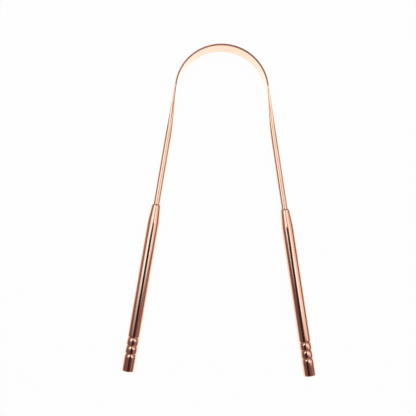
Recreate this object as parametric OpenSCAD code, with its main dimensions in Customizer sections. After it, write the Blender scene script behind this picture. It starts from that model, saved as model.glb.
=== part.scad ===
// Tongue scraper: a wire bow with a flattened arch and two swaged tube handles.
// X runs across the two legs, Y runs from the handles to the arch, and Z is the height of the band.
// The origin lies on the resting plane, under the middle of the outline.

/* [Bow] */
// Diameter of the round wire
wire_d = 3.3; // [2.4:0.1:3.5]
// Thickness that the arch is pressed down to
band_t = 1.0; // [0.8:0.05:1.4]
// Radius of the arch, to the middle of the band
arch_r = 23.3; // [18:0.1:30]
// Lean of each leg from the middle line, in degrees
leg_splay = 8.5; // [4:0.1:14]
// Straight stretch of full band between the arch and the taper
band_lead = 0.5; // [0.5:0.1:5]
// Length over which the band swells back to round wire
taper_len = 28.0; // [16:0.5:34]
// How far the round leg's centre lies inside the band's centre
leg_inset = 0.25; // [0:0.05:0.8]
// Bare round wire between the taper and the left handle
bare_len = 34.1; // [20:0.1:50]

/* [Handles] */
// Outside diameter of the handle tube
tube_d = 6.2; // [5.8:0.1:7]
// Wall of the handle tube
tube_wall = 0.7; // [0.65:0.05:0.8]
// Length of the handle tube
tube_len = 81.9; // [64:0.1:110]
// Length of the swaged nose
nose_len = 8.4; // [6:0.1:14]
// Wall left at the tip of the nose
nose_wall = 0.64; // [0.4:0.02:0.64]
// Half the length of the soft shoulder between nose and tube
nose_blend = 1.2; // [0.4:0.1:2]
// How much further down its leg the right handle is pushed on
right_extra = 1.6; // [0:0.1:3]

/* [Rolled grooves] */
// Number of grooves rolled into the tail of each tube
groove_count = 3; // [1:1:5]
// Distance from groove to groove
groove_pitch = 3.9; // [3.6:0.1:5]
// Depth of each groove
groove_depth = 0.42; // [0.2:0.02:0.46]
// Length of the rounded shoulder on each side of a groove
groove_shoulder = 1.3; // [1:0.05:1.75]
// Plain tail behind the last groove
tail_len = 8.1; // [6:0.1:14]

/* [End plugs] */
// Plug length ahead of the first groove
plug_lead = 6.0; // [4:0.5:12]
// Depth of the socket that takes the wire's end
socket_depth = 12.0; // [6:0.5:14]
// Chamfer on the plug's two rims
plug_chamfer = 0.2; // [0.1:0.05:0.4]

/* [Hidden] */

// Radial clearance of every fit: wire in nose, wire in socket, plug in tube
fit_gap = 0.02;
// Room between the wire's cut end and the bottom of its socket
end_gap = 0.5;
// Rounding of the tube's nose tip and of its butt, each as a share of the wall there
tip_share = 0.7;
butt_share = 0.9;
// How far the lofted taper reaches into its neighbours, and how much smaller it is there
taper_reach = 0.3;
taper_tuck = 0.01;
// Cone of the socket's drilled bottom, as its angle to the axis
drill_angle = 59;

// Points round the wire, rings along a taper, and steps of the small curves
ring_points = 32;
taper_rings = 24;
round_steps = 4;
blend_steps = 6;
shoulder_steps = 7;
$fn = 72;

// Width of the wire once it is pressed to thickness t: a stadium of the same area
function pressed_w(t) = t + PI * (wire_d ^ 2 - t ^ 2) / (4 * t);

band_w = pressed_w(band_t);
tube_r = tube_d / 2;
wire_r = wire_d / 2;
bore_r = wire_r + fit_gap;
nose_r = bore_r + nose_wall;
nose_slope = (tube_r - nose_r) / nose_len;
tip_round = tip_share * nose_wall;
butt_round = butt_share * tube_wall;

taper_end = band_lead + taper_len;
left_seat = taper_end + bare_len;
right_seat = left_seat + right_extra;
first_groove = tube_len - tail_len - (groove_count - 1) * groove_pitch;
plug_start = first_groove - plug_lead;
wire_end = plug_start + socket_depth - end_gap;

// The arch's centre, placed so that the outline is centred on the origin
tail_drop = (right_seat + tube_len) * cos(leg_splay) - (arch_r - leg_inset - tube_r) * sin(leg_splay);
arch_y = (tail_drop - arch_r - band_t / 2) / 2;
mid_z = max(band_w, tube_d) / 2;

// Stadium outline of width w and thickness t, a true circle outline when both are equal.
// The points stand at half steps, so that none falls on the seam between cap and flat.
function stadium(w, t) = [
    for (i = [0 : ring_points - 1])
        let (a = 360 * (i + 1 / 2) / ring_points)
        [t / 2 * cos(a), t / 2 * sin(a) + sign(sin(a)) * (w - t) / 2]
];

// Soft step from 0 to 1
function soft(u) = u * u * (3 - 2 * u);

// One ring of the taper at length s down the leg, with the share f of the way from band to wire
function taper_ring(s, f, tuck) =
    let (t = band_t + (wire_d - band_t) * f)
    [for (p = stadium(pressed_w(t) - 2 * tuck, t - 2 * tuck)) [p[0] - leg_inset * f, p[1], s]];

// Triangles that join rings of ring_points points each, and close both ends with fans
function ring_faces(rings) = concat(
    [for (k = [0 : rings - 2], i = [0 : ring_points - 1])
        let (j = (i + 1) % ring_points, a = k * ring_points, b = a + ring_points)
        [a + i, b + i, b + j]],
    [for (k = [0 : rings - 2], i = [0 : ring_points - 1])
        let (j = (i + 1) % ring_points, a = k * ring_points, b = a + ring_points)
        [a + i, b + j, a + j]],
    [for (i = [1 : ring_points - 2]) [0, i, i + 1]],
    [let (top = (rings - 1) * ring_points) for (i = [1 : ring_points - 2]) [top, top + i + 1, top + i]]
);

// Loses height towards the middle of the nearest groove, along two arcs that meet there
function groove_drop(s) = max([
    for (g = [0 : groove_count - 1])
        let (off = abs(s - first_groove - g * groove_pitch))
        off < groove_shoulder ? groove_depth * (1 - off / groove_shoulder) ^ 2 : 0
]);

// Radius of the swaged nose: a straight cone that runs softly into the tube
function nose_curve(s) =
    let (u = s - nose_len + nose_blend)
    u < 0 ? nose_r + nose_slope * s
    : u < 2 * nose_blend ? nose_r + nose_slope * (s - u * u / (4 * nose_blend))
    : tube_r;

function outer_r(s) = nose_curve(s) - groove_drop(s);
function inner_r(s) = max(bore_r, outer_r(s) - tube_wall);

// Lengths along the tube at which its outline bends
land_end = (bore_r + tube_wall - nose_r) / nose_slope;
nose_stops = [for (i = [0 : blend_steps]) nose_len + nose_blend * (2 * i / blend_steps - 1)];
groove_stops = [
    for (g = [0 : groove_count - 1], i = [-shoulder_steps : shoulder_steps])
        first_groove + g * groove_pitch + groove_shoulder * i / shoulder_steps
];
plug_stops = [for (s = groove_stops) if (s > plug_start + plug_chamfer) s];

// Right leg's own axes: x out from the arch's centre, y up, z down the leg from the arch's end
module leg_frame() {
    translate([0, arch_y, mid_z])
        rotate([0, 0, leg_splay])
            translate([arch_r, 0, 0])
                rotate([90, 0, 0])
                    children();
}

// A turned piece on the axis of the round leg, from the height at which its tube is seated
module on_leg(seat) {
    leg_frame()
        translate([-leg_inset, 0, seat])
            children();
}

// The flattened arch that scrapes
module arch() {
    translate([0, arch_y, mid_z])
        rotate([0, 0, leg_splay])
            rotate_extrude(angle = 180 - 2 * leg_splay)
                translate([arch_r, 0])
                    polygon(stadium(band_w, band_t));
}

// The stretch that swells from flat band to round wire
module taper() {
    rings = concat(
        [taper_ring(-taper_reach, 0, taper_tuck), taper_ring(0, 0, taper_tuck)],
        [taper_ring(taper_reach, 0, 0)],
        [for (i = [0 : taper_rings])
            taper_ring(band_lead + (taper_len - taper_reach) * i / taper_rings, soft(i / taper_rings), 0)],
        [taper_ring(taper_end, 1, taper_tuck), taper_ring(taper_end + taper_reach, 1, taper_tuck)]
    );
    polyhedron(points = [for (ring = rings) each ring], faces = ring_faces(len(rings)));
}

// Taper and round wire of the right leg, with its tube seated at the given length
module leg(seat) {
    leg_frame()
        taper();
    on_leg(taper_end)
        cylinder(d = wire_d, h = seat + wire_end - taper_end);
}

// Tube with its swaged nose at zero and its butt at tube_len
module tube() {
    outline = concat(
        [for (i = [0 : round_steps])
            let (a = 90 * i / round_steps)
            [nose_curve(tip_round) - tip_round * (1 - sin(a)), tip_round * (1 - cos(a))]],
        [for (s = nose_stops) [outer_r(s), s]],
        [for (s = groove_stops) [outer_r(s), s]],
        [for (i = [0 : round_steps])
            let (a = 90 * i / round_steps)
            [tube_r - butt_round * (1 - cos(a)), tube_len - butt_round * (1 - sin(a))]]
    );
    lining = concat(
        [[bore_r, 0], [bore_r, land_end]],
        [for (s = nose_stops) [inner_r(s), s]],
        [for (s = groove_stops) [inner_r(s), s]],
        [[inner_r(tube_len), tube_len]]
    );
    rotate_extrude()
        polygon(concat(outline, [for (i = [len(lining) - 1 : -1 : 0]) lining[i]]));
}

// Plug in the tail of a tube, rolled into the same grooves, with a drilled socket for the wire
module plug() {
    plug_r = inner_r(tube_len) - fit_gap;
    chamfer = min(plug_chamfer, (plug_r - bore_r) / 2);
    socket_end = plug_start + socket_depth;
    rotate_extrude()
        polygon(concat(
            [[bore_r, plug_start], [plug_r - chamfer, plug_start], [plug_r, plug_start + chamfer]],
            [for (s = plug_stops) [inner_r(s) - fit_gap, s]],
            [[plug_r, tube_len - chamfer], [plug_r - chamfer, tube_len], [0, tube_len]],
            [[0, socket_end + bore_r / tan(drill_angle)], [bore_r, socket_end]]
        ));
}

module scraper_bow() {
    color("#c98a6b") {
        arch();
        leg(right_seat);
        mirror([1, 0, 0])
            leg(left_seat);
    }
}

module left_handle_sleeve() {
    color("#c08064")
        mirror([1, 0, 0])
            on_leg(left_seat)
                tube();
}

module right_handle_sleeve() {
    color("#c08064")
        on_leg(right_seat)
            tube();
}

module left_end_plug() {
    color("#a86c50")
        mirror([1, 0, 0])
            on_leg(left_seat)
                plug();
}

module right_end_plug() {
    color("#a86c50")
        on_leg(right_seat)
            plug();
}

scraper_bow();
left_handle_sleeve();
right_handle_sleeve();
left_end_plug();
right_end_plug();
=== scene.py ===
import math

import bpy
import numpy as np
from mathutils import Euler, Matrix, Vector


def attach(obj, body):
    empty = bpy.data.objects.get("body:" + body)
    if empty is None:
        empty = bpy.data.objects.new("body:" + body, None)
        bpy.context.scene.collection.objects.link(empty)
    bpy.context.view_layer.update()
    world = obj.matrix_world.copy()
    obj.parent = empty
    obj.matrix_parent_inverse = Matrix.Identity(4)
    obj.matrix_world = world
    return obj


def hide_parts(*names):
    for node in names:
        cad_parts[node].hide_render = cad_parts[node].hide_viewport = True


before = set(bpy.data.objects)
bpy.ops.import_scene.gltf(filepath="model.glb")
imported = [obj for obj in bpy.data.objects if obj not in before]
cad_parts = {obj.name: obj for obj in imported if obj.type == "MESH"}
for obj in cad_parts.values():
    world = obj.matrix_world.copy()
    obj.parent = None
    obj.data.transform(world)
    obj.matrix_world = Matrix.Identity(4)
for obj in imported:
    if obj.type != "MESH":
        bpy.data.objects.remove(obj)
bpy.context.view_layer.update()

# The scraper bow is one length of round copper wire, pressed flat on edge into the arch that scrapes
# and left round down both legs. It is drawn, pressed between dies, bent on a former and tumbled
# bright, and its cut ends stop inside the end plugs.
mm = 0.001
wire_d = 3.3 * mm
band_t = 1.0 * mm
arch_r = 23.3 * mm
leg_splay = math.radians(8.5)
band_lead = 0.5 * mm
taper_len = 28.0 * mm
leg_inset = 0.25 * mm
bare_len = 34.1 * mm
edge_power = 8
flat_share = 0.2
flat_points = 10
cap_points = 24
taper_rows = 61
arch_rows = 121
# Where the painted shade on the wire ahead of each sleeve's nose begins, and where it is full, as
# distances from the seat.
seat_shade_start = -0.45 * mm
seat_shade_full = -0.25 * mm
rows_near_seat = (-8 * mm, -1 * mm, seat_shade_start, seat_shade_full, 1 * mm, 30 * mm)


def pressed_w(t):
    """Width of the wire pressed to thickness t: a stadium with the area of the round wire."""
    return t + math.pi * (wire_d**2 - t**2) / (4 * t)


def soft(u):
    """Soft step from 0 to 1: three u squared less two u cubed, held at both ends."""
    u = np.clip(u, 0, 1)
    return u * u * (3 - 2 * u)


band_w = pressed_w(band_t)
tube_d = 6.2 * mm
tube_len = 81.9 * mm
right_extra = 1.6 * mm
mid_z = max(band_w, tube_d) / 2
taper_end = band_lead + taper_len
left_seat = taper_end + bare_len
right_seat = left_seat + right_extra
tail_drop = (right_seat + tube_len) * math.cos(leg_splay) - (
    arch_r - leg_inset - tube_d / 2
) * math.sin(leg_splay)
arch_y = (tail_drop - arch_r - band_t / 2) / 2
hidden_len = 71.5 * mm
bow_copper = (0.93, 0.52, 0.39)
bow_polish = 0.1
bow_wave = 0.0015 * mm
mottle_spots = 160
smear_spots = 420
line_spots = 5200
wave_spots = 210
smear_stretch = (1, 1, 0.35)
line_stretch = (1, 1, 0.012)
wave_stretch = (1, 1, 0.45)
redder_shares = (0.985, 0.93, 0.9)
# The oxide colour and dulling, which also make the painted shade where the wire meets a sleeve's nose.
oxide_and_shade_shares = (0.5, 0.3, 0.24)
oxide_and_shade_cover = 0.75
oxide_and_shade_dulling = 0.16
smear_dulling = 0.05
line_dulling = 0.04
line_depth = 0.00006 * mm


def on_leg(side, x, y, z):
    """Leg axes to the row frame: x out from the arch's centre, y up and z down the leg, all turned by the
    leg's lean about the arch's centre. side is 1 on the right, and -1 mirrors them to the left."""
    out = arch_r + x
    return np.stack(
        [
            side * (out * math.cos(leg_splay) + z * math.sin(leg_splay)),
            arch_y + out * math.sin(leg_splay) - z * math.cos(leg_splay),
            mid_z + y,
        ],
        axis=-1,
    )


def grid_faces(rows, ring, closed_rows):
    """Quads of a grid of rows by ring points, closed round the ring, and along the rows where asked."""
    row = np.arange(rows if closed_rows else rows - 1)[:, None] * ring
    next_row = (row + ring) % (rows * ring)
    i = np.arange(ring)[None, :]
    j = (i + 1) % ring
    return np.stack([row + i, row + j, next_row + j, next_row + i], axis=-1).reshape(-1, 4)


def skin(name, points, grain, wear_and_shade, closed_rows=False):
    """Makes a mesh object from a grid of points; open ends are closed with a fan about their middle.
    grain is the straightened place of every point, and the fourth argument says how far each point darkens
    and dulls, from 0 to 1: even light wear, painted shade where the wire meets a sleeve's nose, and darker
    toward the grooves' bottoms."""
    rows, ring = points.shape[:2]
    faces = grid_faces(rows, ring, closed_rows).tolist()
    points = points.reshape(-1, 3)
    grain = grain.reshape(-1, 3)
    wear_and_shade = wear_and_shade.reshape(-1)
    if not closed_rows:
        last_row = (rows - 1) * ring
        i = np.arange(ring)
        j = (i + 1) % ring
        faces += np.stack([j, i, i * 0 + len(points)], axis=-1).tolist()
        faces += np.stack([last_row + i, last_row + j, i * 0 + len(points) + 1], axis=-1).tolist()
        points = np.vstack([points, points[:ring].mean(0), points[last_row:].mean(0)])
        grain = np.vstack([grain, grain[:ring].mean(0), grain[last_row:].mean(0)])
        wear_and_shade = np.append(wear_and_shade, [0, 0])
    mesh = bpy.data.meshes.new(name)
    mesh.from_pydata(points.tolist(), [], faces)
    mesh.attributes.new("grain", "FLOAT_VECTOR", "POINT").data.foreach_set("vector", grain.ravel())
    mesh.attributes.new("wear_and_shade", "FLOAT", "POINT").data.foreach_set("value", wear_and_shade)
    mesh.shade_smooth()
    mesh.validate()
    piece = bpy.data.objects.new(name, mesh)
    bpy.context.scene.collection.objects.link(piece)
    return piece


def signed_power(value, power):
    """The value's size raised to power, with the value's own sign."""
    return np.sign(value) * np.abs(value) ** power


def band_section(t):
    """Stadium of thickness t and the width that goes with it. Each point is the cap's, pushed up or down
    by half of width less thickness; across the flats, the part of the cap under flat_share, the push runs
    evenly from one end to the other. The cap is a circle on round wire, and squares up with the square
    of what is pressed off into a superellipse of edge_power. Returns x and y, one row for each t, in the
    order that makes the wire's faces point outward."""
    edge = math.asin(flat_share)
    across = np.linspace(-edge, edge, flat_points, endpoint=False)
    cap = np.linspace(edge, math.pi - edge, cap_points, endpoint=False)
    a = np.concatenate([across, cap, across + math.pi, cap + math.pi])[None, ::-1]
    t = t[:, None]
    push = np.clip(np.sin(a) / flat_share, -1, 1) * (pressed_w(t) - t) / 2
    power = 2 + (edge_power - 2) * ((wire_d - t) / (wire_d - band_t)) ** 2
    x = t / 2 * signed_power(np.cos(a), 2 / power)
    y = t / 2 * signed_power(np.sin(a), 2 / power) + push
    return x, y


def bow_points():
    """The section carried from the right wire end up its leg, round the arch and down the left leg.
    On a leg the share of round wire follows the soft step over the taper; on the arch it is nought.
    Returns the points, their straightened places and a painted shade, which rises just ahead of a sleeve's
    nose where the wire goes in and stays full under the sleeve."""
    taper = np.linspace(0, 1, taper_rows) * taper_len + band_lead
    near_seat = np.array(rows_near_seat)
    right_z = np.concatenate([taper, right_seat + near_seat, [right_seat + hidden_len]])[::-1]
    left_z = np.concatenate([taper, left_seat + near_seat, [left_seat + hidden_len]])
    turn = np.linspace(leg_splay, math.pi - leg_splay, arch_rows)
    z = np.concatenate([right_z, turn * 0, left_z])
    share = soft((z - band_lead) / taper_len)
    x, y = band_section(band_t + (wire_d - band_t) * share)
    x = x - leg_inset * share[:, None]
    start, end = len(right_z), len(right_z) + len(turn)
    out = arch_r + x[start:end]
    arch = np.stack(
        [
            out * np.cos(turn)[:, None],
            arch_y + out * np.sin(turn)[:, None],
            mid_z + y[start:end],
        ],
        axis=-1,
    )
    right = on_leg(1, x[:start], y[:start], right_z[:, None])
    left = on_leg(-1, x[end:], y[end:], left_z[:, None])
    points = np.concatenate([right, arch, left])
    steps = np.linalg.norm(np.diff(points.mean(1), axis=0), axis=1)
    run = np.concatenate([[0], np.cumsum(steps)])[:, None]
    seat = np.concatenate([right_z * 0 + right_seat, turn * 0 + left_seat, left_z * 0 + left_seat])
    # Painted shade: the wire darkens just ahead of each sleeve's nose and stays dark under the sleeve.
    seat_shade = np.clip((z - seat - seat_shade_start) / (seat_shade_full - seat_shade_start), 0, 1)[:, None]
    return points, np.stack([x, y, run + x * 0], axis=-1), seat_shade + x * 0


class Term:
    """A node socket whose arithmetic adds Math nodes, so that shader maths reads as an expression."""

    def __init__(self, tree, socket):
        self.tree = tree
        self.socket = socket

    def add(self, kind, settings=None, output=0, **sockets):
        """Adds any node: its settings first, then its inputs by name or as in_N by number."""
        node = self.tree.nodes.new(kind)
        for key, value in (settings or {}).items():
            setattr(node, key, value)
        for key, value in sockets.items():
            number = key.startswith("in_")
            target = node.inputs[int(key[3:]) if number else key.replace("_", " ")]
            if isinstance(value, Term):
                self.tree.links.new(value.socket, target)
            else:
                target.default_value = value
        return Term(self.tree, node.outputs[output] if len(node.outputs) else None)

    def maths(self, operation, a, b):
        """One Math node that works on a and b."""
        return self.add("ShaderNodeMath", {"operation": operation}, in_0=a, in_1=b)

    def __add__(self, other):
        return self.maths("ADD", self, other)

    __radd__ = __add__

    def __mul__(self, other):
        return self.maths("MULTIPLY", self, other)

    __rmul__ = __mul__

    def __sub__(self, other):
        return self.maths("SUBTRACT", self, other)

    def __rsub__(self, other):
        return self.maths("SUBTRACT", other, self)

    def fade(self, low, high):
        """0 below low, 1 above high, and a soft step between them."""
        return self.add(
            "ShaderNodeMapRange",
            {"interpolation_type": "SMOOTHSTEP"},
            Value=self,
            From_Min=low,
            From_Max=high,
        )

    def mixed(self, a, b):
        """Colour a where this is 0, colour b where it is 1."""
        return self.add(
            "ShaderNodeMix",
            {"data_type": "RGBA"},
            output=2,
            in_0=self,
            in_6=a,
            in_7=b,
        )

    def noise(self, spots, detail, stretch=(1, 1, 1)):
        """Noise with that many spots to the metre over this place, whose axes are scaled by stretch."""
        place = self.add("ShaderNodeMapping", in_0=self, Scale=stretch)
        return self.add("ShaderNodeTexNoise", Vector=place, Scale=spots, Detail=detail)


def blank_material(name):
    """A material with an empty node tree, and a first term to build from."""
    material = bpy.data.materials.new(name)
    material.use_nodes = True
    material.node_tree.nodes.clear()
    return material, Term(material.node_tree, None)


def shifted(colour, shares):
    """The colour with each of its channels cut to that channel's share."""
    return (*(channel * share for channel, share in zip(colour, shares)), 1)


def bright_copper(name, colour, polish, wave_depth):
    """Tumbled copper: a warm mottle in the colour, faint smears and draw lines in the gloss, darker and
    duller where the point's darkening attribute is high: even light wear on the plugs, painted shade where
    the wire meets a sleeve's nose, and darker grooves and lining. polish is the roughness of the clean
    metal, and wave_depth is the depth in metres of the slow unevenness left by the dies. Smears, lines and
    waves are stretched down the wire."""
    material, start = blank_material(name)
    grain = start.add("ShaderNodeAttribute", {"attribute_name": "grain"}, output=1)
    wear_and_shade = start.add("ShaderNodeAttribute", {"attribute_name": "wear_and_shade"}, output=2)
    mottle = grain.noise(mottle_spots, 3.0).fade(0.35, 0.7)
    smear = grain.noise(smear_spots, 4.0, smear_stretch).fade(0.5, 0.75)
    lines = grain.noise(line_spots, 2.0, line_stretch)
    waves = grain.noise(wave_spots, 1.0, wave_stretch)
    clean = mottle.mixed((*colour, 1), shifted(colour, redder_shares))
    # Toward the oxide colour where the darkening attribute is high: light wear on the plugs, and painted
    # shade where the wire meets a sleeve's nose.
    tone = (wear_and_shade * oxide_and_shade_cover).mixed(clean, shifted(colour, oxide_and_shade_shares))
    gloss = polish + smear * smear_dulling + lines * line_dulling + wear_and_shade * oxide_and_shade_dulling
    rise = waves * wave_depth + lines * line_depth
    bump = start.add("ShaderNodeBump", Strength=1.0, Distance=1.0, Height=rise)
    shader = start.add(
        "ShaderNodeBsdfPrincipled",
        Base_Color=tone,
        Metallic=1.0,
        Roughness=gloss,
        Normal=bump,
    )
    start.add("ShaderNodeOutputMaterial", Surface=shader)
    return material


bow = skin("scraper_bow_wire", *bow_points())
bow.data.materials.append(bright_copper("tumbled copper wire", bow_copper, bow_polish, bow_wave))
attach(bow, "root")
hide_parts("scraper_bow")

# Two handle sleeves, drawn copper tube pushed over the bare wire. A rotary swage draws each nose down
# onto the wire, and three rolled grooves lock the tail round its plug.
tube_wall = 0.7 * mm
nose_len = 8.4 * mm
nose_wall = 0.64 * mm
nose_blend = 1.2 * mm
groove_count = 3
groove_pitch = 3.9 * mm
groove_depth = 0.42 * mm
groove_ahead = 0.9 * mm
groove_behind = 1.7 * mm
groove_shift = -0.25 * mm
tail_len = 8.1 * mm
fit_gap = 0.02 * mm
tip_share = 0.7
butt_share = 0.9
tip_round = tip_share * nose_wall
butt_round = butt_share * tube_wall
tube_r = tube_d / 2
bore_r = wire_d / 2 + fit_gap
nose_r = bore_r + nose_wall
nose_slope = (tube_r - nose_r) / nose_len
first_groove = tube_len - tail_len - (groove_count - 1) * groove_pitch
groove_places = first_groove + groove_shift + groove_pitch * np.arange(groove_count)
sleeve_copper = (0.93, 0.5, 0.38)
sleeve_polish = 0.07
sleeve_wave = 0.001 * mm
ring_points = 96
rim_rows = 7
land_rows = 9
nose_rows = 17
tube_rows = 23
shoulder_rows = 16
# The rows of the nose's rounded tip that take painted shade where the wire goes in, and the power that
# makes the sleeve darker toward each groove's bottom.
shaded_tip_rows = 5
groove_dark_power = 2.5
sides = (("left", -1, left_seat), ("right", 1, right_seat))


def groove_share(s):
    """Share of the groove's depth at length s: the square of what is left of the shoulder, which is
    steep ahead of the groove's bottom and long behind it."""
    off = s[:, None] - groove_places[None, :]
    off = np.where(off < 0, -off / groove_ahead, off / groove_behind)
    return (np.clip(1 - off, 0, 1) ** 2).max(1)


def groove_stops(count):
    """Lengths over all grooves, count of them on each shoulder besides the groove's bottom."""
    steps = np.linspace(-1, 1, 2 * count + 1)
    steps = np.where(steps < 0, steps * groove_ahead, steps * groove_behind)
    return (groove_places[:, None] + steps[None, :]).ravel()


def sleeve_r(s):
    """Radius at length s: a straight cone, a parabola that runs softly into the tube, less the grooves."""
    u = np.clip(s - nose_len + nose_blend, 0, 2 * nose_blend)
    cone = nose_r + nose_slope * (np.minimum(s, nose_len + nose_blend) - u * u / (4 * nose_blend))
    return cone - groove_depth * groove_share(s)


def lining_r(s):
    """Inside radius at length s: the outside less the wall, and never less than the bore."""
    return np.maximum(bore_r, sleeve_r(s) - tube_wall)


def turned(name, side, seat, r, s, wear_and_shade, closed_rows=True):
    """Outline of radii r at lengths s from the seat, turned full circle about the round leg's axis. It is
    closed on itself, or else starts and ends close to the axis. Rings on the left leg run the other way
    round, so that its faces point outward too."""
    a = np.linspace(0, 2 * math.pi, ring_points, endpoint=False)[None, :]
    x, y, z = r[:, None] * np.cos(a), r[:, None] * np.sin(a), s[:, None] + a * 0
    points = on_leg(side, x - leg_inset, y, z + seat)
    grain = np.stack([x, y, z + side * seat], axis=-1)
    if side < 0:
        points, grain = points[:, ::-1], grain[:, ::-1]
    return skin(name, points, grain, np.repeat(wear_and_shade[:, None], ring_points, 1), closed_rows)


def sleeve_outline():
    """Outside from the tip to the butt, both rounded by a quarter of a circle, then the lining back up to
    the tip. Returns its radii, its lengths and how dark each row is: a power of the groove's share there,
    full in the lining, and full at the tip next to the wire, which is painted shade where the wire goes
    in."""
    quarter = np.linspace(0, math.pi / 2, rim_rows)
    inward, along = 1 - np.cos(quarter), 1 - np.sin(quarter)
    lands = np.linspace(tip_round, nose_len - nose_blend, land_rows)[1:-1]
    nose = np.linspace(nose_len - nose_blend, nose_len + nose_blend, nose_rows)
    tube = np.linspace(nose_len + nose_blend, groove_places[0] - groove_ahead, tube_rows)[1:-1]
    body = np.concatenate([lands, nose, tube, groove_stops(shoulder_rows)])
    tip_r = nose_r + nose_slope * tip_round
    inside = np.concatenate([[tube_len], body[::-1], [0]])
    inside_r = np.append(lining_r(inside[:-1]), bore_r)
    r = np.concatenate([tip_r - tip_round * along, sleeve_r(body), tube_r - butt_round * inward, inside_r])
    s = np.concatenate([tip_round * inward, body, tube_len - butt_round * along, inside])
    # The sleeve is darker toward each groove's bottom.
    groove_dark = groove_share(body) ** groove_dark_power
    tip_shade_and_groove_dark = np.concatenate([quarter * 0, groove_dark, quarter * 0, inside * 0 + 1])
    # Painted shade: the tip's rounded rows next to the wire are fully dark, where the wire goes into the
    # nose.
    tip_shade_and_groove_dark[:shaded_tip_rows] = 1
    return r, s, tip_shade_and_groove_dark


sleeve_metal = bright_copper("polished copper tube", sleeve_copper, sleeve_polish, sleeve_wave)
for side_name, side, seat in sides:
    sleeve = turned(f"{side_name}_sleeve_tube", side, seat, *sleeve_outline())
    sleeve.data.materials.append(sleeve_metal)
    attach(sleeve, "root")
    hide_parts(f"{side_name}_handle_sleeve")

# Two end plugs, turned copper slugs in the tails of the tubes. The tube is rolled into the plug's
# grooves, and the wire's end sits in its drilled socket.
plug_lead = 6.0 * mm
socket_depth = 12.0 * mm
plug_chamfer = 0.2 * mm
drill_angle = math.radians(59)
point_r = 0.03 * mm
plug_rows = 8
plug_wear = 0.15
plug_copper = (0.88, 0.46, 0.34)
plug_polish = 0.16
plug_wave = 0.0005 * mm


def plug_outline():
    """Outline of the slug from the point of the drilled socket along its wall, round the chamfered rim
    and over the grooves, where it follows the tube's lining less the gap, to the middle of its end.
    Returns its radii, its lengths and an even light wear."""
    start = first_groove - plug_lead
    plug_r = lining_r(np.array([tube_len]))[0] - fit_gap
    chamfer = min(plug_chamfer, (plug_r - bore_r) / 2)
    socket_end = start + socket_depth
    rolled = groove_stops(plug_rows)
    drill_rise = (bore_r - point_r) / math.tan(drill_angle)
    r = np.concatenate(
        [
            [point_r, bore_r, bore_r, plug_r - chamfer, plug_r],
            lining_r(rolled) - fit_gap,
            [plug_r, plug_r - chamfer, point_r],
        ]
    )
    s = np.concatenate(
        [
            [socket_end + drill_rise, socket_end, start, start, start + chamfer],
            rolled,
            [tube_len - chamfer, tube_len, tube_len],
        ]
    )
    return r, s, s * 0 + plug_wear


plug_metal = bright_copper("turned copper plug", plug_copper, plug_polish, plug_wave)
for side_name, side, seat in sides:
    plug = turned(f"{side_name}_plug_slug", side, seat, *plug_outline(), closed_rows=False)
    plug.data.materials.append(plug_metal)
    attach(plug, "root")
    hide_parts(f"{side_name}_end_plug")

# The table is a plain sheet of white paper under the scraper. It shows as white, and keeps a faint
# soft shadow where the metal stands on it.
near_glow = (1.16, 1.46, 1.44)
far_glow = (0.32, 0.3, 0.3)
glow_reach = (12 * mm, 34 * mm)
paper_white = (0.8, 0.8, 0.8)
shown_white = (1, 1, 1)
shown_share = 0.97
table_x = (-0.42, 0.42)
table_y = (-0.36, 0.36)


def level(x, y, left_z, right_z):
    """Corners of a card over the ranges x and y, at one height, or rising from left to right."""
    return [(x[0], y[0], left_z), (x[1], y[0], right_z), (x[1], y[1], right_z), (x[0], y[1], left_z)]


def sheet(name, corners, material):
    """Flat card with its four corners given in order."""
    mesh = bpy.data.meshes.new(name)
    mesh.from_pydata(corners, [], [(0, 1, 2, 3)])
    flat = bpy.data.objects.new(name, mesh)
    flat.data.materials.append(material)
    bpy.context.scene.collection.objects.link(flat)
    return flat


def seen_rays(start):
    """1 for rays from the camera and for those that metal mirrors or glass lets through, and 0 for the
    rays that only bring light."""
    camera_ray = start.add("ShaderNodeLightPath", output="Is Camera Ray")
    gloss_ray = start.add("ShaderNodeLightPath", output="Is Glossy Ray")
    glass_ray = start.add("ShaderNodeLightPath", output="Is Transmission Ray")
    return start.maths("MAXIMUM", camera_ray, start.maths("MAXIMUM", gloss_ray, glass_ray))


def table_paper():
    """White paper under a glow that only shows. Metal mirrors the glow bright from close by and dim from
    further off."""
    material, start = blank_material("white table")
    gloss_ray = start.add("ShaderNodeLightPath", output="Is Glossy Ray")
    ray_length = start.add("ShaderNodeLightPath", output="Ray Length")
    mirrored = ray_length.fade(*glow_reach).mixed((*near_glow, 1), (*far_glow, 1))
    shown = gloss_ray.mixed((*shown_white, 1), mirrored)
    paper = start.add("ShaderNodeBsdfDiffuse", Color=(*paper_white, 1))
    glow = start.add("ShaderNodeEmission", Color=shown, Strength=1.0)
    share = seen_rays(start) * shown_share
    surface = start.add("ShaderNodeMixShader", in_0=share, in_1=paper, in_2=glow)
    start.add("ShaderNodeOutputMaterial", Surface=surface)
    return material


sheet("table", level(table_x, table_y, 0, 0), table_paper())

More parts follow.
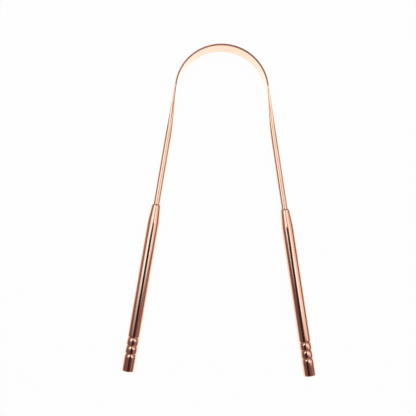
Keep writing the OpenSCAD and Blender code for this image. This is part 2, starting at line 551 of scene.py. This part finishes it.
# The studio light is a wide white ceiling, brightest round the camera and dim over the handles' end.
# The camera, its boom and the dark clothes behind it hang below, and dim walls stand round. All of them
# are cards that only light the metal or are mirrored in it.
left_x = -1.4
right_x = 3.0
front_y = -0.9
back_y = 0.9
ceiling_z = 0.52
camera_z = 0.2
boom_x = (-0.06, 0.048)
boom_y = (0.001, 0.3)
boom_z = 0.3
clothes_x = (-0.33, 0.48)
clothes_y = (-0.6, 0.06)
clothes_z = (0.015, 0.516)
clothes_slant = 0.168
left_wall_light = 0.35
right_wall_light = 0.12
back_wall_light = 0.3
front_wall_light = 0.12
doorway_light = 0.5
camera_light = 0.05
boom_light = 0.36
clothes_light = 0.21
clothes_shade = 0.195
red_loss = 0.3
white_cloth = (1.4, 1.0, 1.02)
warm_grey = (1.15, 0.79, 0.78)
dark_cloth = (1.0, 0.6, 0.58)


def upright(start, end, top):
    """Corners of a wall that stands on the line from start to end, up to the height top."""
    return [(*start, 0), (*end, 0), (*end, top), (*start, top)]


def own_place(start):
    """The card's own x and y, as two terms."""
    place = start.add("ShaderNodeTexCoord", output="Object")
    return [start.add("ShaderNodeSeparateXYZ", output=axis, Vector=place) for axis in ("X", "Y")]


def card(name, corners, tint, strength, lights=True, cover=None):
    """A card that lights and is mirrored in the metal, but never shows itself or throws a shadow.
    strength is a number, or works one out from the card's own x and y; the stronger it is, the less
    of the tint's red is left. cover, if given, works out how much of the card is there, from 0 to 1."""
    material, start = blank_material(name)
    light = strength(*own_place(start)) if callable(strength) else strength
    red, green, blue = tint[0] * (light * (1 - red_loss * light)), tint[1] * light, tint[2] * light
    colour = (red, green, blue, 1)
    if callable(strength):
        colour = start.add("ShaderNodeCombineXYZ", X=red, Y=green, Z=blue)
    surface = start.add("ShaderNodeEmission", Color=colour, Strength=1.0)
    if cover:
        clear = start.add("ShaderNodeBsdfTransparent", Color=(1, 1, 1, 1))
        share = cover(*own_place(start))
        surface = start.add("ShaderNodeMixShader", in_0=share, in_1=clear, in_2=surface)
    start.add("ShaderNodeOutputMaterial", Surface=surface)
    flat = sheet(name, corners, material)
    flat.visible_camera = False
    flat.visible_shadow = False
    flat.visible_diffuse = lights


def between(place, start, full, last, end):
    """1 from full to last, nothing outside start and end, and a soft step on each side."""
    return place.fade(start, full) * (1 - place.fade(last, end))


def ceiling_strength(x, y):
    """Full round the camera, a step down on the right, and fading to all sides. A patch on the left
    is brighter. The middle is weaker and fades sooner, where a frame hangs across it, and the camera's
    mount dims it straight above. The places are metres on the ceiling."""
    whole_light, right_step = 0.92, 0.69
    patch_gain, back_loss, middle_loss, mount_loss = 0.28, 0.12, 0.16, 0.6
    edge_light, camera_side_loss, far_side_loss = 0.25, 0.1, 0.05
    left = x.fade(-0.9, -0.327)
    right = whole_light * (1 - x.fade(0.95, 1.76)) + right_step * (1 - x.fade(0.284, 0.415))
    front = y.fade(-0.195, -0.118)
    patch = 1 + patch_gain * (between(x, -0.38, -0.24, -0.12, -0.04) * y.fade(-0.12, 0.0))
    middle = between(x, -0.12, -0.05, 0.1, 0.17)
    back = 1 - (middle * y.fade(0.14, 0.25) + (1 - middle) * y.fade(0.42, 0.6))
    over_arch = 1 - y.fade(0.02, 0.08) * (back_loss + middle_loss * middle)
    edges = edge_light - camera_side_loss * y.fade(-0.3, -0.1) - far_side_loss * y.fade(0.15, 0.3)
    mount = between(x, -0.18, -0.1, 0.1, 0.15) * between(y, -0.04, 0.0, 0.06, 0.1)
    return edges + (left * right) * (front * back) * (over_arch * patch * (1 - mount_loss * mount))


def front_strength(x, y):
    """A pale doorway in the middle of the dim front wall."""
    return front_wall_light + doorway_light * between(x, -0.9, -0.6, 0.3, 0.9)


def clothes_strength(x, y):
    """Darkest behind the camera."""
    return clothes_light - clothes_shade * between(x, -0.114, -0.054, 0.036, 0.096)


def clothes_cover(x, y):
    """The soft front edge of the clothes, a little nearer the scraper on the left."""
    return 1 - (y + clothes_slant * x).fade(-0.118, -0.026)


def boom_cover(x, y):
    """Soft on both sides, as it hangs close and out of focus."""
    return between(x, -0.06, -0.022, 0.01, 0.048)


card(
    "ceiling light",
    level((left_x, right_x), (front_y, back_y), ceiling_z, ceiling_z),
    white_cloth,
    ceiling_strength,
)
for name, corner, far_corner, strength in (
    ("left wall", (left_x, front_y), (left_x, back_y), left_wall_light),
    ("right wall", (right_x, front_y), (right_x, back_y), right_wall_light),
    ("back wall", (left_x, back_y), (right_x, back_y), back_wall_light),
    ("front wall", (left_x, front_y), (right_x, front_y), front_strength),
):
    card(name, upright(corner, far_corner, ceiling_z), warm_grey, strength)
camera_outline = [(-0.125, -0.3), (0.06, -0.3), (0.052, -0.001), (-0.0845, -0.001)]
camera_corners = [(x, y, camera_z) for x, y in camera_outline]
card("camera", camera_corners, dark_cloth, camera_light, lights=False)
card(
    "camera boom",
    level(boom_x, boom_y, boom_z, boom_z),
    warm_grey,
    boom_light,
    lights=False,
    cover=boom_cover,
)
card(
    "dark clothes",
    level(clothes_x, clothes_y, *clothes_z),
    dark_cloth,
    clothes_strength,
    lights=False,
    cover=clothes_cover,
)

# The room behind the table lights the metal as a dim grey. It shows as the white of the table, so that
# no horizon is seen between them.
room_grey = (0.28, 0.26, 0.25)
room_white = (0.983, 0.983, 0.983)
world = bpy.data.worlds.new("studio room")
bpy.context.scene.world = world
world.use_nodes = True
world.node_tree.nodes.clear()
start = Term(world.node_tree, None)
room_colour = seen_rays(start).mixed((*room_grey, 1), (*room_white, 1))
room = start.add("ShaderNodeBackground", Color=room_colour, Strength=1.0)
start.add("ShaderNodeOutputWorld", Surface=room)

# The camera looks down from close above, at the photograph's angle: it stands a little towards the
# handles and the left of the scraper's middle.
view_height = 270 * mm
field = 208 * mm
sensor = 36.0
tilt = math.radians(5.4)
side_lean = math.radians(1.5)
roll = math.radians(0.81)
aim_x = -6.25 * mm
aim_below_arch = 59.63 * mm
aim = Vector((aim_x, arch_y - aim_below_arch, mid_z))
pose = Euler((tilt, -side_lean, roll), "YXZ").to_matrix()
camera_data = bpy.data.cameras.new("camera")
camera_data.sensor_width = sensor
camera_data.lens = sensor * view_height / field
camera = bpy.data.objects.new("camera", camera_data)
camera.matrix_world = Matrix.Translation(aim + pose @ Vector((0, 0, view_height))) @ pose.to_4x4()
bpy.context.scene.collection.objects.link(camera)
bpy.context.scene.camera = camera
bpy.context.scene.view_settings.view_transform = "Standard"
